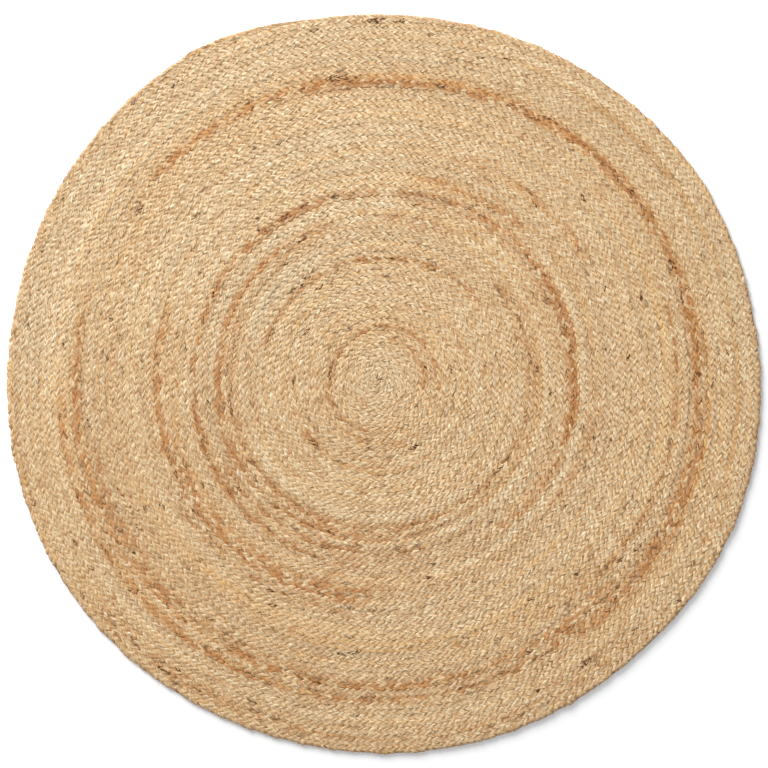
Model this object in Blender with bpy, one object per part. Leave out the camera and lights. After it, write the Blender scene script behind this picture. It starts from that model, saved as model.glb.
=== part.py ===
"""Round jute rug: one long plaited braid wound flat in a clockwise spiral and sewn turn to turn.

The rug is a single thick sheet. Its edge is not a true circle: it grows by one braid width over the
last turn, steps back in where the braid's tail is tucked away, and swells and pulls in a little where
the turns were sewn looser or tighter. The underside is flat and the rim is rounded like the braid.
Metres, +Z up, with the origin under the middle of the rug.
"""
import math

import bmesh
import bpy

# Braid and rug sizes
BRAID_WIDTH = 0.024          # one turn of the spiral, across the braid
THICKNESS = 0.010            # the braid lying flat
FULL_TURNS = 30              # turns on every side of the spiral's start, before the last one is added
RIM_ROUNDING = 0.006         # how far the rounded rim reaches in from the edge

# The tail: where the braid ends, and the stretch over which it narrows and tucks in
TAIL_TIP_DEG = 96.0
TAIL_TAPER_DEG = 26.0

# Where the edge swells out (+) or pulls in (-), in metres, each fading out over its reach
EDGE_SWELLS = (
    # direction_deg, reach_deg, height_m
    (300.0, 130.0, 0.028),
    (340.0, 35.0, 0.016),
    (25.0, 50.0, 0.015),
    (210.0, 50.0, 0.013),
    (85.0, 25.0, -0.006),
)

# The walking surface: long low waves left by the sewing, fading to nothing at the rim
SURFACE_WAVES = (
    # lobes_around, turn_deg, height_m
    (2, 20.0, 0.0004),
    (3, 75.0, 0.0003),
    (5, 140.0, 0.0002),
)

# Mesh fineness
EDGE_POINTS = 120
RIM_STEPS = 6
SURFACE_RINGS = (0.93, 0.80, 0.65, 0.50, 0.35, 0.20, 0.08)   # shares of the way out from the middle

JUTE_COLOUR = (0.62, 0.44, 0.23, 1.0)
JUTE_ROUGHNESS = 0.9


def clear_scene():
    for item in list(bpy.data.objects):
        bpy.data.objects.remove(item, do_unlink=True)


def swell_at(direction_deg):
    """Sum of the raised-cosine swells at one direction."""
    total = 0.0
    for centre_deg, reach_deg, height in EDGE_SWELLS:
        away = abs((direction_deg - centre_deg + 180.0) % 360.0 - 180.0)
        if away < reach_deg:
            total += height * math.cos(0.5 * math.pi * away / reach_deg) ** 2
    return total


def edge_radius(direction_deg):
    """Distance of the edge from the spiral's start: whole turns, the last turn's growth, the tail, the swells."""
    clockwise_deg = (TAIL_TIP_DEG - direction_deg) % 360.0
    growth = clockwise_deg / 360.0
    into_tail = max(0.0, (clockwise_deg - (360.0 - TAIL_TAPER_DEG)) / TAIL_TAPER_DEG)
    tucked = into_tail * into_tail * (3.0 - 2.0 * into_tail)
    return BRAID_WIDTH * (FULL_TURNS + growth - tucked) + swell_at(direction_deg)


def edge_outline():
    """The edge's points, counter-clockwise, and the spiral's start, all about the middle of the rug's box."""
    points = []
    for step in range(EDGE_POINTS):
        direction_deg = 360.0 * step / EDGE_POINTS
        angle = math.radians(direction_deg)
        radius = edge_radius(direction_deg)
        points.append((radius * math.cos(angle), radius * math.sin(angle)))
    middle_x = 0.5 * (min(x for x, _ in points) + max(x for x, _ in points))
    middle_y = 0.5 * (min(y for _, y in points) + max(y for _, y in points))
    shifted = [(x - middle_x, y - middle_y) for x, y in points]
    return shifted, (-middle_x, -middle_y)


def surface_height(x, y, share):
    """Height of the walking surface: the thickness plus the low waves, which fade in from the middle and rim."""
    angle = math.atan2(y, x)
    lift = sum(height * math.sin(lobes * angle + math.radians(turn_deg))
               for lobes, turn_deg, height in SURFACE_WAVES)
    return THICKNESS + lift * 4.0 * share * (1.0 - share)


def add_ring(mesh, outline, start, inset, share, height_of):
    """One ring of points: the outline drawn in by inset and scaled towards the spiral's start by share."""
    start_x, start_y = start
    ring = []
    for x, y in outline:
        away_x, away_y = x - start_x, y - start_y
        distance = math.hypot(away_x, away_y)
        scale = share * (distance - inset) / distance
        ring_x, ring_y = start_x + away_x * scale, start_y + away_y * scale
        ring.append(mesh.verts.new((ring_x, ring_y, height_of(away_x, away_y))))
    return ring


def bridge(mesh, lower, upper):
    for index in range(len(lower)):
        following = (index + 1) % len(lower)
        mesh.faces.new((lower[index], lower[following], upper[following], upper[index]))


def build_rug(material):
    outline, start = edge_outline()
    mesh = bmesh.new()

    # The rim: half an ellipse from the flat underside round to the walking surface
    rings = []
    for step in range(RIM_STEPS + 1):
        tilt = math.pi * (step / RIM_STEPS - 0.5)
        inset = RIM_ROUNDING * (1.0 - math.cos(tilt))
        height = 0.5 * THICKNESS * (1.0 + math.sin(tilt))
        rings.append(add_ring(mesh, outline, start, inset, 1.0, lambda x, y, z=height: z))

    # The walking surface, from the rim in to a small round middle
    for share in SURFACE_RINGS:
        rings.append(add_ring(mesh, outline, start, RIM_ROUNDING, share,
                              lambda x, y, s=share: surface_height(x, y, s)))

    for lower, upper in zip(rings, rings[1:]):
        bridge(mesh, lower, upper)
    mesh.faces.new(list(reversed(rings[0])))

    middle = mesh.verts.new((start[0], start[1], THICKNESS))
    innermost = rings[-1]
    for index in range(EDGE_POINTS):
        mesh.faces.new((innermost[index], innermost[(index + 1) % EDGE_POINTS], middle))

    data = bpy.data.meshes.new("braided_rug")
    mesh.to_mesh(data)
    mesh.free()
    data.materials.append(material)
    data.shade_smooth()
    data.set_sharp_from_angle(angle=math.radians(50.0))
    rug = bpy.data.objects.new("braided_rug", data)
    bpy.context.scene.collection.objects.link(rug)
    return rug


def jute_material():
    material = bpy.data.materials.new("jute")
    material.use_nodes = True
    shader = material.node_tree.nodes["Principled BSDF"]
    shader.inputs["Base Color"].default_value = JUTE_COLOUR
    shader.inputs["Roughness"].default_value = JUTE_ROUGHNESS
    shader.inputs["Metallic"].default_value = 0.0
    return material


clear_scene()
build_rug(jute_material())
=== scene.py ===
import bpy
import numpy as np
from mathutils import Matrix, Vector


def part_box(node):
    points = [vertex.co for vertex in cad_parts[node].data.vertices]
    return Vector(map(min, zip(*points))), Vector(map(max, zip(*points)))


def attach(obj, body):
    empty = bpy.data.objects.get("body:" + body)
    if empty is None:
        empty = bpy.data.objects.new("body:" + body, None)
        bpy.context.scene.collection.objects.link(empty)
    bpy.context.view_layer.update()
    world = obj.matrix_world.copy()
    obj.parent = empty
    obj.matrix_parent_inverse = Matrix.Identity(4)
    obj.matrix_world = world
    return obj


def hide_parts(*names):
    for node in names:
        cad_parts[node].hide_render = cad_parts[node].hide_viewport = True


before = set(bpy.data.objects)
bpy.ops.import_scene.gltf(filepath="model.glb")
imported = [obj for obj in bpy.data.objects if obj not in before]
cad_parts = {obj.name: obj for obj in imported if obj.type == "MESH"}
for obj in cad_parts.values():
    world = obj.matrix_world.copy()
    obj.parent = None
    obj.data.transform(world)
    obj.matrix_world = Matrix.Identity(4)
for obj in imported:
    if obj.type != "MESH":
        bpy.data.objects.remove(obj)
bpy.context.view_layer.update()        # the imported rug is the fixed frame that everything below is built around

# The rug as it was wound: two narrow plaits side by side, going round clockwise from the middle,
# with their tail tucked in at the rim. A turn is the width of both.
rug = {
    "node": "braided_rug",
    "turnWidth": 0.024,
    "fullTurns": 30,                # turns on every side before the last one is added
    "tailTip": 96.0,                # direction of the tail's tip, in degrees
    "tailTaper": 26.0,              # the stretch over which the tail narrows, in degrees
    "tipWidth": 0.08,               # the least that both plaits together narrow to, in turns
    "middleShift": (-0.002, -0.012),  # how far the first turns sit off the rim's own middle
    "waveHeights": (0.0004, 0.0003),  # the long low waves that the rug lies in
    "swells": (                     # direction, reach, height: where the rim swells out or pulls in
        (300.0, 130.0, 0.028),
        (340.0, 35.0, 0.016),
        (25.0, 50.0, 0.015),
        (210.0, 50.0, 0.013),
        (85.0, 25.0, -0.006),
    ),
}

# One plait: plump stitches in two lanes, half a stitch apart, that lean towards each other.
plait = {
    "thickness": 0.010,
    "firstTurn": (0.60, 0.12),      # the turn at which the inner and the outer plait begin
    "lastTurn": 0.997,              # how far into the last turn both of them run
    "courseSteps": 60001,           # points along the course at which the stitches are counted
    "stitch": 0.014,                # pitch of the stitches along the plait
    "tightStitch": 0.009,           # pitch in the tight first turns
    "looseAfter": 3.0,              # turns until the pitch is the full one
    "pitchDrift": 0.06,             # how much the pitch drifts along the plait, as a share
    "driftEvery": 0.06,             # the length of plait over which it drifts
    "lean": 0.50,                   # how far a stitch runs on from the side to the seam, in stitches
    "leanAfter": 6.0,               # stitches until the lean is the full one
    "strandSlant": 25.0,            # the fibres' own slant to the plait, in degrees
    "stepsPerStitch": 4,
    "grainPowers": (2.2, 0.6),      # how blunt a stitch is towards its ends, and how plump on top
    "endUp": 0.15,                  # how much higher every stitch is towards its later end, as a share
    "gapRange": (-0.3, 1.2),        # the least and the most a gap can be, as a share of its depth
    "gapSpread": (0.55, 0.8),       # share of the depth in the shallowest gap, and what others have more
    "gapDepth": 0.0014,             # how deep the gap between two stitches is
    "laneDip": 0.0010,              # how far each lane falls towards its seam and its side
    "turnGroove": 0.0004,           # how much deeper the groove between two turns is
    "crown": 0.0008,                # how far the fullest stitches stand above the thickness
    "lift": 0.00028,                # how much higher or lower single stitches lie
    "rise": 0.0002,                 # how much higher or lower whole stretches lie
    "sway": 0.12,                   # how far a stitch lies off its lane's middle, as a share of the lane
    "tuck": 0.18,                   # how far stitch tips reach over the seam, as a share of a lane
    "scallop": 0.12,                # how far stitches bulge at the plait's side, as a share of a lane
    "rimScallop": 2.0,              # how much more they do so at the rug's rim, as a share
    "rimBulge": 0.16,               # how far single stitches stand out at the rim, as a share of a lane
    "rimOnset": 12.0,               # how soon the last turn takes on the rim's shape, per turn
    "wallReach": 1.95,              # way from the seam over the side to its foot, in lanes
    "tipThickness": 0.45,           # share of the thickness that is left where the plait runs out
    "wander": 0.008,                # how far the plait strays from its line, in turns
    "backGap": 0.0009,              # how deep the gaps between the stitches are on the underside
    "patternSteps": (0.391, 0.617),  # how far each stitch moves on over the fibre pattern
    "patternSize": (7.0, 9.0),      # the stretch of the pattern that is used
    "laneStep": 3.1,                # how far one lane's pattern lies from the other's
    "piecesEach": 3,                # visible pieces along each plait, on top
    "backSplit": 0.85,              # share of the stitches in the first of the two pieces underneath
}

# How single stitches differ: the spread of their draws, and the stitches over which slow changes run.
differ = {
    "slip": 0.15,                   # along the plait, in stitches
    "tilt": 0.18,                   # from the seam to the side, in stitches
    "full": 0.20,                   # how full a stitch is, as a share
    "endHigher": 0.30,              # how much one end stands above the other, as a share
    "furthest": 2.0,                # slip, tilt and sway stay within this many spreads
    "strands": 3,                   # strands that take turns along a plait
    "strandEvery": 9.0,
    "rowEvery": 80.0,
    "laneEvery": 30.0,
    "wanderEvery": 16.0,
    "riseEvery": 24.0,
}

# How much of the gap shade lies in a hollow, from nought for none to one for all of it.
shade = {
    "seam": 0.22,                   # at the seam and the sides of a plait
    "groove": 0.20,                 # added in the groove between two turns
    "rim": 0.5,                     # round the rug's rim
    "rimGap": 0.4,                  # added in the gaps there
    "back": 0.15,                   # all over the underside
    "backGap": 0.45,                # added in the gaps there
    "backSide": 1.4,                # added up the sides there, by how far they rise
}

seed = 4117
driftSeed = 7                       # added to the seed for the drift of the pitch
attributes = ("tone", "honey", "hue", "bark")   # what each stitch carries for the material
pair = np.arange(2)                 # the two lanes: inner, outer


def swellAt(direction):
    # sum over the swells of height times a squared cosine that reaches nought at the swell's reach
    total = np.zeros_like(direction)
    for centre, reach, height in rug["swells"]:
        away = np.abs((direction - centre + 180.0) % 360.0 - 180.0)
        total += np.where(away < reach, height * np.cos(0.5 * np.pi * away / reach) ** 2, 0.0)
    return total


def polarPlace(count, direction):
    # distance = turns times turn width, stretched by the rim's swell in step with the turn count
    # place = that distance along the direction, plus a shift that fades from the middle to the rim
    rimCount = rug["fullTurns"] + 0.5       # the rim lies half a turn out, on the mean
    share = count / rimCount
    swell = swellAt(direction) / (rug["turnWidth"] * rimCount)
    distance = rug["turnWidth"] * count * (1.0 + swell * share)
    angle = np.radians(direction)
    shiftX, shiftY = rug["middleShift"]
    fade = np.clip(1.0 - share, 0.0, 1.0)
    return distance * np.cos(angle) + shiftX * fade, distance * np.sin(angle) + shiftY * fade


def tuckedShare(turn):
    # nought until the taper begins, then a smooth step up to one whole turn at the tip
    last = rug["fullTurns"] + 1.0
    into = np.clip((turn - last) * 360.0 / rug["tailTaper"] + 1.0, 0.0, 1.0)
    return into * into * (3.0 - 2.0 * into)


def sidesOf(turn, which):
    # a plait's inner and outer side, counted in turns from the start: the two share each turn equally,
    # and the inner one begins half a turn later
    outer = turn - tuckedShare(turn)
    inner = np.minimum(np.maximum(turn - 1.0, 0.0), outer - rug["tipWidth"])
    between = np.where(turn < 1.0, np.maximum(turn - 0.5, 0.0), 0.5 * (inner + outer))
    return (inner, between) if which == 0 else (between, outer)


def directionOf(turn):
    # clockwise, so that the tail's direction comes round again at every whole turn
    return rug["tailTip"] - 360.0 * turn


def startPlace():
    # the spiral's start, set so that the middle of the rim's box falls on the middle of the solid rug's
    # box; the rim is taken at every quarter of a degree
    direction = np.linspace(0.0, 360.0, 1441)
    clockwise = (rug["tailTip"] - direction) % 360.0
    turn = rug["fullTurns"] + clockwise / 360.0
    x, y = polarPlace(turn - tuckedShare(turn), direction)
    low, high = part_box(rug["node"])
    return 0.5 * (low[0] + high[0] - x.min() - x.max()), 0.5 * (low[1] + high[1] - y.min() - y.max())


def slowNoise(random, places, spacing):
    # random values at even spacing, joined by straight lines
    knots = random.normal(size=int(places.max() / spacing) + 3)
    return np.interp(places / spacing, np.arange(len(knots)), knots)


def plaitCourse(which):
    # turn against stitch number: the length of the plait's middle line, divided by the stitch pitch,
    # added up
    end = rug["fullTurns"] + plait["lastTurn"]
    turn = np.linspace(plait["firstTurn"][which], end, plait["courseSteps"])
    inner, outer = sidesOf(turn, which)
    x, y = polarPlace(0.5 * (inner + outer), directionOf(turn))
    length = np.concatenate(([0.0], np.cumsum(np.hypot(np.diff(x), np.diff(y)))))
    grown = np.clip(turn / plait["looseAfter"], 0.0, 1.0)
    pitch = plait["tightStitch"] + (plait["stitch"] - plait["tightStitch"]) * grown
    drift = slowNoise(np.random.default_rng(seed + driftSeed + which), length, plait["driftEvery"])
    pitch = pitch * (1.0 + plait["pitchDrift"] * drift)
    stitches = np.diff(length) / (0.5 * (pitch[1:] + pitch[:-1]))
    return turn, np.concatenate(([0.0], np.cumsum(stitches)))


def stitchRandom(which, count):
    # one draw per stitch and lane for everything that differs from stitch to stitch
    random = np.random.default_rng(seed + which)
    size = (count + 3, 2)
    number = np.arange(count + 3)

    def limited():
        return np.clip(random.normal(size=size), -differ["furthest"], differ["furthest"])

    def slow(every):
        return slowNoise(random, number, every)

    return {
        "slip": limited() * differ["slip"],
        "tilt": limited() * differ["tilt"],
        "full": random.normal(size=size) * differ["full"],
        "lift": random.normal(size=size),
        "endHigher": random.normal(size=size) * differ["endHigher"],
        "sway": limited(),
        "gap": random.random(size=size),
        "tone": random.normal(size=size),
        "hue": random.normal(size=size),
        "patch": random.random(size=size),
        "fleck": random.random(size=size),
        "strands": np.stack([slow(differ["strandEvery"]) for _ in range(differ["strands"])]),
        "rows": slow(differ["rowEvery"]),
        "lanes": np.stack([slow(differ["laneEvery"]) for _ in pair], -1),
        "wander": slow(differ["wanderEvery"]),
        "rise": slow(differ["riseEvery"]),
    }


startX, startY = startPlace()
underside = float(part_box(rug["node"])[0][2])
plaits = []
for which in (0, 1):
    courseTurn, courseStitch = plaitCourse(which)
    count = int(courseStitch[-1])
    plaits.append({"which": which, "turn": courseTurn, "stitch": courseStitch, "count": count,
                   "drawn": stitchRandom(which, count)})
print("plait courses of", [one["count"] for one in plaits], "stitches")

# Across the plait from its inner side over the top to its outer side. Columns: place across as a share
# of the half width, arch of the lane there, share of the gap depth there, and its height at the rug's
# rim as a share of the body's.
section = np.array([
    (-1.00, 0.00, 0.0, 0.30),
    (-1.12, 0.45, 0.7, 0.58),
    (-0.78, 0.80, 1.0, 0.88),
    (-0.42, 1.00, 1.0, 1.00),
    (0.00, 0.15, 0.5, 1.00),
    (0.42, 1.00, 1.0, 1.00),
    (0.78, 0.80, 1.0, 0.88),
    (1.12, 0.45, 0.7, 0.58),
    (1.00, 0.00, 0.0, 0.30),
])
topAcross, topArch, gapShare, rimHeight = section.T
wallColumn = np.isin(np.arange(len(section)), (0, len(section) - 1))   # the lowest column on each side
topReach = np.where(wallColumn, plait["wallReach"], np.abs(topAcross))  # way from the seam to the column

# The underside's columns: place across, rise as a share of the thickness, and the way over the surface
# from the seam.
backSection = np.array([
    (-1.04, 0.37, 1.35),
    (-0.52, 0.00, 0.52),
    (0.00, 0.09, 0.00),
    (0.52, 0.00, 0.52),
    (1.04, 0.37, 1.35),
])
backAcross, backRise, backReach = backSection.T


def surfaceWave(x, y):
    # two sets of long low waves over the whole rug; the numbers with x and y set their length and place
    long, short = rug["waveHeights"]
    return long * np.sin(5.3 * x + 1.1) * np.cos(4.1 * y - 0.4) + short * np.sin(9.7 * x - 7.9 * y)


def placeOnPlait(one, stitch, across):
    # follows the plait's middle line to the stitch, then goes across by a share of its half width
    # returns the place, and how wide the plait is there as a share of its full width, half a turn
    stitch = np.clip(stitch, 0.0, one["count"] - 0.001)     # the course ends with the last stitch
    turn = np.interp(stitch, one["stitch"], one["turn"])
    inner, outer = sidesOf(turn, one["which"])
    half = 0.5 * (outer - inner)
    stray = plait["wander"] * np.interp(stitch, np.arange(one["count"] + 3), one["drawn"]["wander"])
    stray = stray * np.clip(turn - 1.0, 0.0, 1.0) * np.clip(rug["fullTurns"] - turn, 0.0, 1.0)
    x, y = polarPlace(0.5 * (inner + outer) + across * half + stray, directionOf(turn))
    return x + startX, y + startY, np.clip(4.0 * half, 0.0, 1.0)


def leanAt(along):
    # the lean grows in step with the stitch number until it is the full one
    return plait["lean"] * np.clip(along / plait["leanAfter"], 0.0, 1.0)


def thinnedTo(width):
    # share of the thickness: what is left at the tip, and the rest in step with the plait's width
    return plait["tipThickness"] + (1.0 - plait["tipThickness"]) * width


def topSheet(one, first, last):
    # grid: steps along the plait by places across it. A line of equal step leans back from the seam to
    # both sides, so each stitch lies between two such lines. Height = thickness, less the dip of the
    # lane's arch, less the gap depth times how near the point is to a gap, so every stitch is a plump
    # leaning grain.
    drawn, steps = one["drawn"], plait["stepsPerStitch"]
    along = np.arange(first * steps, last * steps + 1)[:, None] / steps
    side, reach = np.sign(topAcross), np.abs(topAcross)
    leaning = leanAt(along) * reach

    # place within the stitch, -1 to 1, for the inner lane and, half a stitch on, for the outer lane
    whole = np.floor(along + 0.5 * pair + 1e-9).astype(int)
    within = 2.0 * (along + 0.5 * pair - whole) - 1.0
    number = np.clip(whole, 0, one["count"] + 1)
    share = 0.5 * (within + 1.0)

    def between(key):
        # the stitch's own draw at its start, going over to the next one's at its end
        return drawn[key][number, pair] * (1.0 - share) + drawn[key][number + 1, pair] * share

    def byLane(values):
        # every column takes the value of its own lane, and the seam the mean of the two
        mean = 0.5 * (values[:, 0:1] + values[:, 1:2])
        return np.where(reach == 0.0, mean, np.where(side > 0, values[:, 1:2], values[:, 0:1]))

    # grain = a full round top between two gaps, higher to one end
    blunt, plump = plait["grainPowers"]
    grain = np.clip(1.0 - np.abs(within) ** blunt, 0.0, 1.0) ** plump
    grain = grain * (1.0 + (plait["endUp"] + drawn["endHigher"][number, pair]) * within)
    grain = grain * (1.0 + drawn["full"][number, pair])
    gapHere = np.where(within < 0.0, drawn["gap"][number, pair], drawn["gap"][number + 1, pair])
    shallow, more = plait["gapSpread"]
    laneGap = byLane(np.clip(1.0 - grain, *plait["gapRange"]) * (shallow + more * gapHere))
    laneLift = byLane(drawn["lift"][number, pair] * (1.0 - within ** 2))
    laneSway = byLane(between("sway"))

    # a stitch starts at the seam and leans back to the side; slip and tilt differ from stitch to stitch
    stitch = along + byLane(between("slip")) + byLane(between("tilt")) * (reach - 0.5) - leaning
    turn = np.interp(np.clip(stitch, 0.0, one["count"] - 0.001), one["stitch"], one["turn"])

    # rim = one on the outer side of the last turn; groove = one on the side next to another turn
    rim = np.clip((turn - rug["fullTurns"]) * plait["rimOnset"], 0.0, 1.0) * (side > 0) * one["which"]
    groove = (reach > 1.0) * (side == 2 * one["which"] - 1) * (1.0 - rim)
    sideColumn = reach > 0.8

    bulge = side * plait["scallop"] * (0.5 - laneGap) * sideColumn * (1.0 + plait["rimScallop"] * rim)
    bulge = bulge + plait["rimBulge"] * rim * reach * laneSway
    sway = plait["sway"] * laneSway * 2.0 * np.clip(1.0 - reach, 0.0, 1.0) * (reach > 0.0)
    zigzag = -plait["tuck"] * np.cos(2.0 * np.pi * along) * (reach == 0.0)
    x, y, width = placeOnPlait(one, stitch, topAcross + bulge + sway + zigzag)

    arch = topArch + (1.0 - topArch) * rim * (reach > 0.5)
    body = plait["thickness"] + plait["crown"] - plait["laneDip"] * (1.0 - arch)
    body = (body - plait["turnGroove"] * groove) * (1.0 - rim + rimHeight * rim)
    body = np.where(wallColumn, rimHeight[0] * plait["thickness"], body)
    rise = plait["rise"] * np.interp(along, np.arange(one["count"] + 3), drawn["rise"])
    rise = (rise + plait["lift"] * laneLift) * rimHeight
    z = (body - laneGap * gapShare * plait["gapDepth"] + rise) * thinnedTo(width)
    z = underside + z + surfaceWave(x, y) * rimHeight

    hollow = laneGap * gapShare + shade["seam"] * (1.0 - topArch) ** 2 + shade["groove"] * groove
    hollow = hollow + wallColumn * (1.0 - rim)
    hollow = hollow + rim * sideColumn * (shade["rim"] + shade["rimGap"] * laneGap)
    return np.stack([x, y, z], -1), np.clip(hollow, 0.0, 1.0), whole[:-1], along - leaning


def backSheet(one, first, last):
    # the plait's lower half: from the foot of one side round the underside to the other, two steps to a
    # stitch. The stitches are pressed flat against the floor, and rise a little at each gap, which is at
    # even steps in the inner lane and at odd steps in the outer lane.
    step = np.arange(first * 2, last * 2 + 1)[:, None]
    along = 0.5 * step
    place = along - leanAt(along) * np.abs(backAcross)
    x, y, width = placeOnPlait(one, place, backAcross)
    gap = (step % 2 == (backAcross > 0)) * (backAcross != 0.0)
    z = underside + backRise * plait["thickness"] * thinnedTo(width) + plait["backGap"] * gap
    hollow = np.clip(shade["back"] + shade["backGap"] * gap + shade["backSide"] * backRise, 0.0, 1.0)
    number = np.floor(along + 0.5 * pair).astype(int)[:-1]
    return np.stack([x, y, z], -1), hollow, number, place


# Honey and brown streaks where darker jute was plaited in, and one row of painted shade along the rim: the
# turn at the tail's direction where the streak begins and ends, the clockwise stretch from the tail that it
# covers, its width in turns, and how brown and how honey-coloured it is.
streaks = (
    # turnFrom, turnTo, from, to, width, brown, honey
    (24.4, 25.3, -6.0, 90.0, 0.42, 1.00, 0.95),
    (25.3, 25.7, 84.0, 152.0, 0.62, 0.80, 0.85),
    (25.5, 26.0, 150.0, 216.0, 0.34, 0.95, 0.45),
    (26.0, 25.6, 212.0, 272.0, 0.34, 0.65, 0.60),
    (24.5, 24.9, 138.0, 216.0, 0.40, 0.75, 0.45),
    (24.6, 24.4, 222.0, 290.0, 0.45, 0.70, 0.55),
    (23.8, 23.5, 236.0, 262.0, 0.35, 0.55, 0.50),
    (24.0, 23.5, 318.0, 362.0, 0.42, 0.90, 0.80),
    (23.7, 23.3, 78.0, 150.0, 0.24, 1.00, 0.40),
    (15.1, 14.9, 192.0, 240.0, 0.22, 0.70, 0.25),
    (14.9, 14.4, 236.0, 334.0, 0.28, 1.05, 0.65),
    (14.4, 14.4, 326.0, 362.0, 0.34, 1.00, 0.60),
    (15.2, 15.3, -4.0, 24.0, 0.26, 0.65, 0.35),
    (15.6, 15.6, 22.0, 62.0, 0.28, 0.45, 0.55),
    (15.5, 15.5, 64.0, 112.0, 0.36, 1.00, 1.00),
    (15.5, 15.4, 110.0, 152.0, 0.30, 0.50, 0.30),
    (15.2, 15.0, 206.0, 262.0, 0.26, 0.65, 0.25),
    (12.2, 12.3, 56.0, 112.0, 0.32, 0.80, 0.30),
    (12.1, 11.9, 110.0, 192.0, 0.32, 0.60, 0.20),
    (12.1, 11.8, 202.0, 268.0, 0.24, 1.10, 0.30),
    (11.8, 11.5, 268.0, 348.0, 0.34, 0.45, 0.25),
    (12.9, 13.1, 198.0, 246.0, 0.34, 0.85, 0.30),
    (12.9, 12.3, 244.0, 348.0, 0.34, 0.75, 0.95),
    (13.3, 13.3, -2.0, 34.0, 0.30, 0.20, 0.50),
    (13.9, 14.1, 150.0, 248.0, 0.34, 0.75, 0.25),
    (14.6, 14.2, 306.0, 346.0, 0.40, 0.15, 0.70),
    (9.9, 10.0, -4.0, 30.0, 0.24, 1.20, 0.45),
    (10.1, 10.3, 28.0, 62.0, 0.22, 1.00, 0.40),
    (10.8, 10.8, 112.0, 150.0, 0.20, 0.80, 0.20),
    (9.1, 8.9, 290.0, 362.0, 0.24, 0.75, 0.50),
    (8.3, 8.3, 84.0, 102.0, 0.24, 0.70, 0.20),
    (4.3, 4.6, 0.0, 104.0, 0.22, 0.75, 0.60),
    (3.5, 3.3, 264.0, 306.0, 0.22, 1.15, 0.55),
    (3.3, 3.1, 300.0, 360.0, 0.20, 0.70, 0.50),
    (3.3, 3.4, 18.0, 110.0, 0.24, 0.45, 0.55),
    (4.6, 4.6, 176.0, 262.0, 0.24, 0.25, 0.30),
    (5.2, 4.9, 150.0, 215.0, 0.22, 0.50, 0.30),
    (3.9, 3.8, 170.0, 262.0, 0.20, 0.40, 0.50),
    (7.2, 7.2, 168.0, 214.0, 0.28, 0.85, 0.20),
    (6.9, 6.9, 222.0, 244.0, 0.26, 0.50, 0.60),
    (8.2, 8.2, 222.0, 242.0, 0.24, 0.65, 0.30),
    (1.7, 1.8, 206.0, 228.0, 0.22, 0.80, 0.20),
    (16.7, 16.8, 18.0, 50.0, 0.28, 0.65, 0.55),
    (17.9, 17.7, 196.0, 292.0, 0.34, 0.50, 0.35),
    (17.4, 17.2, 190.0, 262.0, 0.60, 0.30, 0.30),
    (19.2, 19.3, 28.0, 66.0, 0.30, 0.25, 0.50),
    (28.0, 28.1, 42.0, 68.0, 0.34, 0.70, 0.30),
    (28.0, 28.0, 142.0, 158.0, 0.28, 0.60, 0.25),
    (28.9, 28.8, 196.0, 240.0, 0.50, 0.80, 0.25),
    (28.9, 29.0, 140.0, 200.0, 0.50, 0.50, 0.20),
    (28.4, 28.4, 60.0, 130.0, 0.30, 0.35, 0.15),
    # painted shade along the rim's outermost lane, not darker jute
    (29.7, 29.9, 256.0, 372.0, 0.28, 0.75, 0.10),
    (24.4, 24.4, 198.0, 234.0, 0.80, 0.35, 0.20),
    (22.6, 22.6, 138.0, 174.0, 0.80, 0.35, 0.05),
    (15.0, 15.0, 12.0, 88.0, 0.60, 0.45, 0.22),
    (12.5, 12.5, 168.0, 206.0, 0.80, 0.40, 0.18),
    (6.7, 6.8, 46.0, 124.0, 0.60, 0.38, 0.06),
    (6.5, 6.5, 178.0, 284.0, 0.60, 0.38, 0.14),
    (18.9, 18.8, 196.0, 244.0, 0.22, 0.50, 0.25),
    # broad faint patches, darker and paler
    (17.8, 17.5, 186.0, 292.0, 1.10, 0.30, 0.20),
    (19.5, 19.5, 284.0, 372.0, 3.00, -0.12, -0.12),
    (16.3, 16.3, 60.0, 200.0, 2.60, 0.06, 0.16),
    (28.4, 28.2, -84.0, 96.0, 2.40, -0.06, -0.30),
    (28.4, 28.4, 276.0, 360.0, 2.40, -0.06, -0.30),
    (13.0, 13.0, 300.0, 372.0, 4.60, -0.20, -0.20),
    (1.0, 1.0, 0.0, 360.0, 1.20, -0.25, -0.10),
    (13.2, 13.0, 190.0, 272.0, 1.80, 0.28, 0.14),
    (22.0, 22.0, 196.0, 284.0, 2.20, 0.16, 0.08),
    # pale rows, where bleached fibre was plaited in
    (16.3, 16.3, 58.0, 168.0, 0.26, -0.75, -0.20),
    (18.8, 18.9, 280.0, 360.0, 0.30, -0.60, -0.20),
    (13.5, 13.5, 92.0, 166.0, 0.26, -0.55, -0.20),
    (10.4, 10.2, 290.0, 340.0, 0.60, -0.60, -0.50),
    (11.0, 11.1, 96.0, 250.0, 0.30, -0.35, -0.45),
    (2.7, 2.7, 176.0, 214.0, 0.34, -0.60, -0.30),
    (1.0, 1.0, 60.0, 140.0, 0.40, -0.60, -0.20),
    (22.9, 22.7, 84.0, 136.0, 0.26, -0.45, 0.00),
    (23.8, 23.8, 80.0, 112.0, 0.22, -0.45, 0.00),
)

# Single dark stitches, where bark was left on the fibre: turn at the tail's direction, clockwise place,
# and how many degrees it runs.
flecks = (
    (5.9, 157.5, 7.0),
    (5.6, 89.0, 6.0),
    (3.45, 278.0, 6.0),
    (3.4, 292.0, 3.0),
    (21.1, 284.0, 1.6),
    (9.8, 20.0, 2.0),
    (7.0, 231.0, 2.2),
    (14.5, 352.0, 1.4),
    (12.3, 305.0, 1.0),
    (16.5, 110.0, 2.0),
    (24.0, 358.0, 5.0),
    (23.5, 310.0, 3.0),
    (25.0, 60.0, 1.5),
    (25.0, 75.0, 1.5),
    (28.0, 150.0, 2.0),
    (29.2, 222.0, 3.0),
    (29.5, 5.0, 2.0),
)

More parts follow.
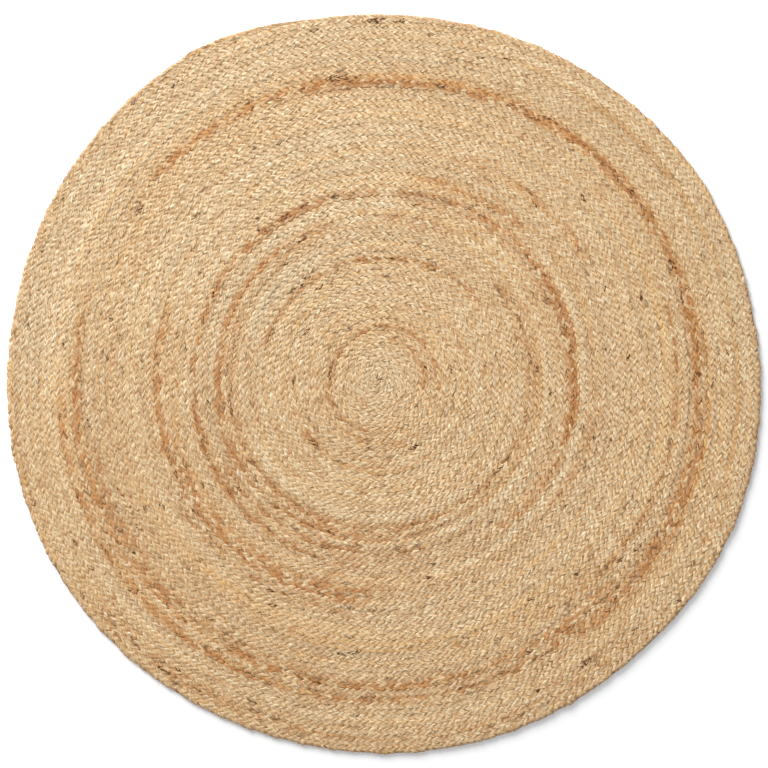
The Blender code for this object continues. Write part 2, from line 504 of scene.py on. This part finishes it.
# How the chart is laid on the stitches.
chart = {
    "softEnds": 8.0,                # the stretch over which a streak begins and ends, in degrees
    "bellWidth": 1.05,              # half the bell across the turns, in widths of the streak
    "fleckHalf": 0.13,              # half the width of a fleck, in turns
}

# How much each thing counts in a stitch's tone, honey, hue and bark.
weigh = {
    "toneDraw": 0.55,               # tone: the stitch's own draw, its strand, its row, a brown streak
    "toneStrand": 0.5,
    "toneRow": 0.55,
    "toneBrown": 1.75,
    "rowLane": 0.8,                 # how much the two lanes of a row differ
    "paintedRimShade": 0.9,                  # painted shade: how much darker the lane at the rug's rim is
    "patchSteep": 3.0,              # how much some stitches in a streak stay plainer
    "patchLess": 0.55,
    "patchRange": (0.15, 1.7),
    "honeyStreak": 1.2,             # honey: a streak, single freckles, warm lanes and warm strands
    "freckle": 0.22,
    "freckleHue": 1.2,              # the hue and patch draws past which a stitch is a freckle
    "frecklePatch": 0.4,
    "warmLane": 0.10,
    "warmLaneFrom": 0.3,
    "warmStrand": 0.07,
    "warmStrandFrom": 0.5,
    "warmMost": 2.0,
    "hueDraw": 0.15,                # hue: the stitch's own draw, its strand, its lane, a pale streak
    "hueStrand": 0.6,
    "hueLane": 0.8,
    "huePale": 2.0,
    "barkFrom": 0.985,              # the fleck draw past which a stitch has bark, anywhere on the rug
    "barkSteep": 90.0,
    "barkInStreak": 0.12,           # share of a brown streak's stitches that have bark, and how much
    "barkOfStreak": 0.7,
}


def charted(row, clockwise):
    # adds up the streaks at each place: a bell across the turns, with soft ends along the turn; a streak
    # that runs past the tail's direction goes on in the next turn, so each is looked for one turn in and
    # one turn out too
    brown, honey, dark = np.zeros_like(row), np.zeros_like(row), np.zeros_like(row)
    for turnFrom, turnTo, start, end, width, brownness, honeyness in streaks:
        for wrap in (-1, 0, 1):
            place = clockwise + 360.0 * wrap
            along = np.clip((place - start) / (end - start), 0.0, 1.0)
            middle = turnFrom + (turnTo - turnFrom) * along
            inside = np.minimum(place - start, end - place)
            soft = np.clip(inside / chart["softEnds"] + 0.5, 0.0, 1.0)
            bell = np.exp(-((row - wrap - middle) / (chart["bellWidth"] * width)) ** 2) * soft
            brown += brownness * bell
            honey += honeyness * bell
    for atTurn, place, run in flecks:
        near = (np.abs(row - atTurn) < chart["fleckHalf"]) & (np.abs(clockwise - place) < 0.5 * run)
        dark = np.maximum(dark, near.astype(float))
    return brown, honey, dark


def stitchColours(one):
    # per stitch and lane: tone (light to dark), honey share, hue (ashy to golden) and bark darkness
    drawn, number = one["drawn"], np.arange(one["count"] + 3)
    turn = np.interp(number[:, None] - 0.5 * pair + 0.2, one["stitch"], one["turn"])
    clockwise = (360.0 * turn) % 360.0

    # a turn has four lanes, each a quarter of it wide; their middles are counted from its outer side
    laneMiddle = -0.875 + 0.5 * one["which"] + 0.25 * pair
    brown, honey, dark = charted(turn + laneMiddle - clockwise / 360.0, clockwise)
    patchy = np.clip(weigh["patchSteep"] * drawn["patch"] - weigh["patchLess"], *weigh["patchRange"])
    strand = drawn["strands"][(2 * number[:, None] + pair) % differ["strands"], number[:, None]]
    rows = drawn["rows"][:, None] + weigh["rowLane"] * drawn["lanes"]
    # painted shade: the lane at the rug's rim is darker all round
    paintedRimShade = weigh["paintedRimShade"] * one["which"] * pair * (turn > rug["fullTurns"])

    tone = weigh["toneDraw"] * drawn["tone"] + weigh["toneStrand"] * strand + weigh["toneRow"] * rows
    tone = tone - weigh["toneBrown"] * brown * patchy - paintedRimShade

    freckled = drawn["patch"] > weigh["frecklePatch"]
    freckle = weigh["freckle"] * np.clip(drawn["hue"] - weigh["freckleHue"], 0.0, 1.0) * freckled
    warmLane = np.clip(drawn["lanes"] - weigh["warmLaneFrom"], 0.0, weigh["warmMost"])
    warmStrand = np.clip(strand - weigh["warmStrandFrom"], 0.0, weigh["warmMost"])
    warm = weigh["warmLane"] * warmLane + weigh["warmStrand"] * warmStrand
    honeyed = np.clip(weigh["honeyStreak"] * honey * patchy + warm + freckle, 0.0, 1.0)

    hue = weigh["hueDraw"] * drawn["hue"] + weigh["hueStrand"] * strand
    hue = hue + weigh["hueLane"] * drawn["lanes"] + weigh["huePale"] * np.minimum(honey, 0.0)

    loose = np.clip((drawn["fleck"] - weigh["barkFrom"]) * weigh["barkSteep"], 0.0, 1.0)
    inStreak = drawn["fleck"] < weigh["barkInStreak"] * np.clip(brown, 0.0, 1.0)
    bark = np.maximum(np.maximum(dark, loose), weigh["barkOfStreak"] * inStreak)
    return {"tone": tone, "honey": honeyed, "hue": hue, "bark": bark}


for one in plaits:
    one["colours"] = stitchColours(one)
print("stitch colours charted")


def laneOfFaces(across):
    # lane of the face after each column: 1 where it lies on the outer half
    return (np.roll(across, -1) > 0).astype(int)


def rowLayout(along, widths, length):
    # the plait laid out flat in rows, one under another, so that the whole stretch fills a square; the
    # ends of a row and the strips between rows stay empty
    atEnds, between, rowSpace = 0.002, 0.05, 1.10
    across = np.concatenate(([0.0], np.cumsum(widths))) / widths.sum()
    rows = max(1, int(round(np.sqrt(length / (widths.sum() * rowSpace)))))
    perRow = int(np.ceil((along - 1) / rows))
    row, place = np.divmod(np.arange(along - 1)[:, None], perRow)
    low = atEnds + (1.0 - 2.0 * atEnds) * place / perRow
    high = atEnds + (1.0 - 2.0 * atEnds) * (place + 1.0) / perRow
    inner = (row + between + (1.0 - 2.0 * between) * across[:-1]) / rows
    outer = (row + between + (1.0 - 2.0 * between) * across[1:]) / rows
    low, high, inner, outer = np.broadcast_arrays(low, high, inner, outer)
    corners = ((low, inner), (high, inner), (high, outer), (low, outer))
    return np.stack([np.stack(corner, -1) for corner in corners], 2)


def strandMap(place, reach, number, lane):
    # in metres, turned to the fibres' slant: first across them, then along them; every stitch has its
    # own stretch of the pattern, so that no fibre runs on from one stitch into the next
    slant = np.radians(plait["strandSlant"])
    off = reach[None, :] * 0.25 * rug["turnWidth"]      # a lane is a quarter of a turn wide
    laneNumber = number[:, lane]
    stepU, stepV = plait["patternSteps"]
    sizeU, sizeV = plait["patternSize"]
    startU = (stepU * laneNumber + plait["laneStep"] * lane) % sizeU
    startV = (stepV * laneNumber) % sizeV
    corners = []
    for stepOn, columnOn in ((0, 0), (1, 0), (1, 1), (0, 1)):
        s = np.roll(place, -columnOn, axis=1)[stepOn:len(place) - 1 + stepOn] - laneNumber
        s, w = s * plait["stitch"], np.roll(off, -columnOn, axis=1)
        u = s * np.sin(slant) + w * np.cos(slant) + startU
        v = s * np.cos(slant) - w * np.sin(slant) + startV
        corners.append(np.stack([u, v], -1))
    return np.stack(corners, 2)


def tubeMesh(name, tubes, across, reach, material):
    # each tube: rings of points carried along a plait, joined into a closed tube with a cap at each end
    lane = laneOfFaces(across)
    points, faces, hollows, layouts, strands = [], [], [], [], []
    perFace = {key: [] for key in attributes}
    capSpot = 0.001                 # the caps' place in the flat layout, in its empty corner
    start = 0
    for tubeNumber, (one, rings, hollow, number, place) in enumerate(tubes):
        along, columns = rings.shape[:2]
        index = start + np.arange(along * columns).reshape(along, columns)
        nextColumn = np.roll(index, -1, axis=1)
        quads = np.stack([index[:-1], index[1:], nextColumn[1:], nextColumn[:-1]], -1).reshape(-1, 4)
        faces += quads.tolist() + [index[0].tolist(), index[-1][::-1].tolist()]
        points.append(rings.reshape(-1, 3))
        hollows.append(hollow.reshape(-1))

        # maps: face corners in the same order as the faces, caps last
        middle = rings[along // 2]
        widths = np.linalg.norm(np.roll(middle, -1, axis=0) - middle, axis=1)
        length = np.linalg.norm(np.diff(rings[:, columns // 2], axis=0), axis=1).sum()
        layout = rowLayout(along, widths, length).reshape(-1, 2)
        layout[:, 1] = (layout[:, 1] + tubeNumber) / len(tubes)
        layouts += [layout, np.full((2 * columns, 2), capSpot)]
        strands += [strandMap(place, reach, number, lane).reshape(-1, 2), np.zeros((2 * columns, 2))]
        stitch = np.clip(number[:, lane], 0, one["count"] + 2)
        for key in attributes:
            values = one["colours"][key][stitch, lane].reshape(-1)
            perFace[key] += [values, values[:1], values[-1:]]
        start += along * columns

    mesh = bpy.data.meshes.new(name)
    mesh.from_pydata(np.concatenate(points).tolist(), [], faces)
    mesh.shade_smooth()
    mesh.attributes.new("hollow", "FLOAT", "POINT")
    mesh.attributes["hollow"].data.foreach_set("value", np.concatenate(hollows).astype(np.float32))
    for key in attributes:
        mesh.attributes.new(key, "FLOAT", "FACE")
        mesh.attributes[key].data.foreach_set("value", np.concatenate(perFace[key]).astype(np.float32))
    for mapName, corners in (("OFBake", layouts), ("strand", strands)):
        flat = np.concatenate(corners).astype(np.float32).reshape(-1)
        mesh.uv_layers.new(name=mapName, do_init=False).data.foreach_set("uv", flat)
    mesh.uv_layers.active = mesh.uv_layers["strand"]
    mesh.materials.append(material)
    return mesh


def addPiece(name, mesh):
    piece = bpy.data.objects.new(name, mesh)
    bpy.context.scene.collection.objects.link(piece)
    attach(piece, "root")
    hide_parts(rug["node"])
    return piece


# Jute: straw to cream by stitch, honey and brown where charted, fibres running along every strand.
jute = {
    "deepStraw": (0.470, 0.270, 0.120),
    "straw": (0.612, 0.407, 0.212),
    "strawAt": 0.36,                # place of the straw along the colours, from deep straw to cream
    "paleStraw": (0.733, 0.564, 0.344),
    "paleStrawAt": 0.68,
    "cream": (0.850, 0.765, 0.562),
    "golden": (0.720, 0.460, 0.180),
    "ashy": (0.610, 0.510, 0.340),
    "hueStep": 0.22,                # how far one unit of hue goes over to golden or to ashy
    "honeyTint": (0.77, 0.51, 0.33),   # what honey, bark and gaps multiply the colour by
    "barkTint": (0.16, 0.09, 0.05),
    "gapShade": (0.63, 0.46, 0.335),
    "middleTone": 0.50,             # place along the colours of a stitch whose tone is nought
    "toneStep": 0.110,              # how far one unit of a stitch's tone moves along the colours
    "ply": (0.0026, 0.010),         # width and length of a ply within a strand
    "fibre": (0.0013, 0.007),       # the same for a bunch of fibres
    "hair": (0.0006, 0.006),
    "twist": 0.22,                  # the plies' slant within a strand, in radians
    "noiseRoughness": 0.6,
    "plyContrast": 1.4,
    "fibreContrast": 1.9,
    "honeyByPly": (3.2, -0.85),     # honey lies on some plies: this much by their noise, and this added
    "barkFrom": 0.44,               # bark lies where the plies' noise is above this
    "barkSteep": 8.0,
    "fibreHeight": 0.7,             # height of the fibres and hairs in the relief, against the plies
    "hairHeight": 0.3,
    "relief": 0.0008,
    "reliefStrength": 0.8,
    "roughness": 0.72,
    "specular": 0.2,
}


def newNode(tree, kind, **settings):
    node = tree.nodes.new(kind)
    for key, value in settings.items():
        setattr(node, key, value)
    return node


def readAttribute(tree, name):
    return newNode(tree, "ShaderNodeAttribute", attribute_name=name).outputs["Fac"]


def maths(tree, operation, first, second, clamp=False):
    # first and second are each a number or another node's output
    node = newNode(tree, "ShaderNodeMath", operation=operation, use_clamp=clamp)
    for socket, value in zip(node.inputs, (first, second)):
        if isinstance(value, (int, float)):
            socket.default_value = value
        else:
            tree.links.new(value, socket)
    return node.outputs[0]


def mixColour(tree, share, first, second, blend="MIX"):
    # inputs 0, 6 and 7 of a Mix node are its factor and its two colours, and output 2 is the colour
    node = newNode(tree, "ShaderNodeMix", data_type="RGBA", blend_type=blend)
    for socket, value in ((node.inputs[0], share), (node.inputs[6], first), (node.inputs[7], second)):
        if isinstance(value, tuple):
            socket.default_value = (*value, 1.0)
        else:
            tree.links.new(value, socket)
    return node.outputs[2]


def fibreNoise(tree, size, detail, shift):
    # noise drawn out along the strand, and slanted a little because the strand is twisted; the shift
    # keeps one noise apart from another
    place = newNode(tree, "ShaderNodeUVMap", uv_map="strand")
    mapping = newNode(tree, "ShaderNodeMapping")
    mapping.inputs["Rotation"].default_value = (0.0, 0.0, jute["twist"])
    mapping.inputs["Scale"].default_value = (1.0 / size[0], 1.0 / size[1], 1.0)
    mapping.inputs["Location"].default_value = (shift, 0.37 * shift, 0.0)
    noise = newNode(tree, "ShaderNodeTexNoise", noise_dimensions="2D")
    noise.inputs["Scale"].default_value = 1.0
    noise.inputs["Detail"].default_value = detail
    noise.inputs["Roughness"].default_value = jute["noiseRoughness"]
    tree.links.new(place.outputs["UV"], mapping.inputs["Vector"])
    tree.links.new(mapping.outputs["Vector"], noise.inputs["Vector"])
    return noise.outputs["Fac"]


def aboutNought(tree, noise, share):
    # the noise moved to lie around nought, times its share
    return maths(tree, "MULTIPLY", maths(tree, "SUBTRACT", noise, 0.5), share)


def juteMaterial():
    material = bpy.data.materials.new("plaitedJute")
    material.use_nodes = True
    tree = material.node_tree
    shader = tree.nodes["Principled BSDF"]
    plies = fibreNoise(tree, jute["ply"], detail=1.0, shift=5.3)
    fibres = fibreNoise(tree, jute["fibre"], detail=2.0, shift=3.1)
    hairs = fibreNoise(tree, jute["hair"], detail=2.0, shift=11.7)

    # place along the colour ramp = middle tone + the stitch's tone + plies + fibres
    tone = maths(tree, "MULTIPLY", readAttribute(tree, "tone"), jute["toneStep"])
    tone = maths(tree, "ADD", tone, jute["middleTone"])
    tone = maths(tree, "ADD", tone, aboutNought(tree, plies, jute["plyContrast"]))
    tone = maths(tree, "ADD", tone, aboutNought(tree, fibres, jute["fibreContrast"]))
    ramp = newNode(tree, "ShaderNodeValToRGB")
    stops = ramp.color_ramp.elements
    stops[0].position, stops[0].color = 0.0, (*jute["deepStraw"], 1.0)
    stops[1].position, stops[1].color = 1.0, (*jute["cream"], 1.0)
    for name in ("straw", "paleStraw"):
        stops.new(jute[name + "At"]).color = (*jute[name], 1.0)
    tree.links.new(tone, ramp.inputs["Fac"])

    hue = readAttribute(tree, "hue")
    golden = maths(tree, "MULTIPLY", hue, jute["hueStep"], clamp=True)
    colour = mixColour(tree, golden, ramp.outputs["Color"], jute["golden"])
    ashy = maths(tree, "MULTIPLY", hue, -jute["hueStep"], clamp=True)
    colour = mixColour(tree, ashy, colour, jute["ashy"])
    byPly, added = jute["honeyByPly"]
    honeyPlies = maths(tree, "ADD", maths(tree, "MULTIPLY", plies, byPly), added, clamp=True)
    honey = maths(tree, "MULTIPLY", readAttribute(tree, "honey"), honeyPlies)
    colour = mixColour(tree, honey, colour, jute["honeyTint"], "MULTIPLY")

    # bark is left on some fibres only, so it shows where the ply noise is high
    sliver = maths(tree, "SUBTRACT", plies, jute["barkFrom"])
    sliver = maths(tree, "MULTIPLY", sliver, jute["barkSteep"], clamp=True)
    bark = maths(tree, "MULTIPLY", readAttribute(tree, "bark"), sliver)
    colour = mixColour(tree, bark, colour, jute["barkTint"], "MULTIPLY")

    # the gaps hold a warm shade, because light goes through several fibres before it comes out of them
    colour = mixColour(tree, readAttribute(tree, "hollow"), colour, jute["gapShade"], "MULTIPLY")
    tree.links.new(colour, shader.inputs["Base Color"])
    shader.inputs["Roughness"].default_value = jute["roughness"]
    shader.inputs["Specular IOR Level"].default_value = jute["specular"]

    # relief = plies, and less of the fibres and hairs
    bump = newNode(tree, "ShaderNodeBump")
    bump.inputs["Strength"].default_value = jute["reliefStrength"]
    bump.inputs["Distance"].default_value = jute["relief"]
    height = maths(tree, "ADD", plies, maths(tree, "MULTIPLY", fibres, jute["fibreHeight"]))
    height = maths(tree, "ADD", height, maths(tree, "MULTIPLY", hairs, jute["hairHeight"]))
    tree.links.new(height, bump.inputs["Height"])
    tree.links.new(bump.outputs["Normal"], shader.inputs["Normal"])
    return material


material = juteMaterial()
turnPieces, backPieces = [], []
for one in plaits:
    cuts = np.linspace(0, one["count"] - 1, plait["piecesEach"] + 1).astype(int)
    for first, last in zip(cuts[:-1], cuts[1:]):
        tube = (one, *topSheet(one, first, last))
        name = f"plaitTurns{len(turnPieces) + 1}"
        turnPieces.append(addPiece(name, tubeMesh(name, [tube], topAcross, topReach, material)))
print("plait turns made", len(turnPieces))

# the underside of both plaits: most of the turns in one piece, the outermost ones in another
for shareFrom, shareTo in ((0.0, plait["backSplit"]), (plait["backSplit"], 1.0)):
    tubes = []
    for one in plaits:
        first, last = int(shareFrom * (one["count"] - 1)), int(shareTo * (one["count"] - 1))
        tubes.append((one, *backSheet(one, first, last)))
    name = f"plaitBack{len(backPieces) + 1}"
    backPieces.append(addPiece(name, tubeMesh(name, tubes, backAcross, backReach, material)))
print("plait backs made", len(backPieces))


# Studio: a pale floor, a large soft light to the upper left, a pale room and a camera looking straight
# down.
studio = {
    "floorReach": 14.0,
    "floorDrop": 0.0003,            # how far the floor lies under the rug
    "floorColour": (0.95, 0.95, 0.955),
    "floorRoughness": 0.9,
    "lightFrom": 125.0,             # direction on the floor that the light comes from, in degrees
    "lightTilt": 60.0,              # away from straight above
    "lightAway": 8.0,
    "lightSize": 4.4,
    "lightPower": 800.0,
    "lightColour": (1.0, 0.985, 0.96),
    "roomColour": (0.97, 0.985, 1.0),
    "roomStrength": 0.64,
    "viewWidth": 1.534,             # how much of the floor the camera sees
    "viewHeight": 5.0,
    "viewDepth": 100.0,
    "sensor": 36.0,                 # width of the camera's sensor, in millimetres
}


def buildStudio():
    reach, level = studio["floorReach"], underside - studio["floorDrop"]
    mesh = bpy.data.meshes.new("floor")
    corners = [(x * reach, y * reach, level) for x, y in ((-1, -1), (1, -1), (1, 1), (-1, 1))]
    mesh.from_pydata(corners, [], [(0, 1, 2, 3)])
    material = bpy.data.materials.new("paleFloor")
    material.use_nodes = True
    shader = material.node_tree.nodes["Principled BSDF"]
    shader.inputs["Base Color"].default_value = (*studio["floorColour"], 1.0)
    shader.inputs["Roughness"].default_value = studio["floorRoughness"]
    mesh.materials.append(material)
    floor = bpy.data.objects.new("floor", mesh)
    bpy.context.scene.collection.objects.link(floor)

    tilt, turn = np.radians(studio["lightTilt"]), np.radians(studio["lightFrom"])
    light = bpy.data.lights.new("softLight", "AREA")
    light.shape = "DISK"
    light.size = studio["lightSize"]
    light.energy = studio["lightPower"]
    light.color = studio["lightColour"]
    lightObject = bpy.data.objects.new("softLight", light)
    away = np.array([np.sin(tilt) * np.cos(turn), np.sin(tilt) * np.sin(turn), np.cos(tilt)])
    lightObject.location = [float(v) for v in away * studio["lightAway"]]
    lightObject.rotation_euler = (float(tilt), 0.0, float(turn + 0.5 * np.pi))
    bpy.context.scene.collection.objects.link(lightObject)

    world = bpy.data.worlds.new("room")
    world.use_nodes = True
    background = world.node_tree.nodes["Background"]
    background.inputs["Color"].default_value = (*studio["roomColour"], 1.0)
    background.inputs["Strength"].default_value = studio["roomStrength"]
    bpy.context.scene.world = world
    bpy.context.scene.view_settings.view_transform = "Standard"

    camera = bpy.data.cameras.new("above")
    camera.lens = studio["sensor"] * studio["viewHeight"] / studio["viewWidth"]
    camera.sensor_width = studio["sensor"]
    camera.clip_end = studio["viewDepth"]
    cameraObject = bpy.data.objects.new("above", camera)
    cameraObject.location = (0.0, 0.0, studio["viewHeight"])
    bpy.context.scene.collection.objects.link(cameraObject)
    bpy.context.scene.camera = cameraObject


buildStudio()
print("studio made")
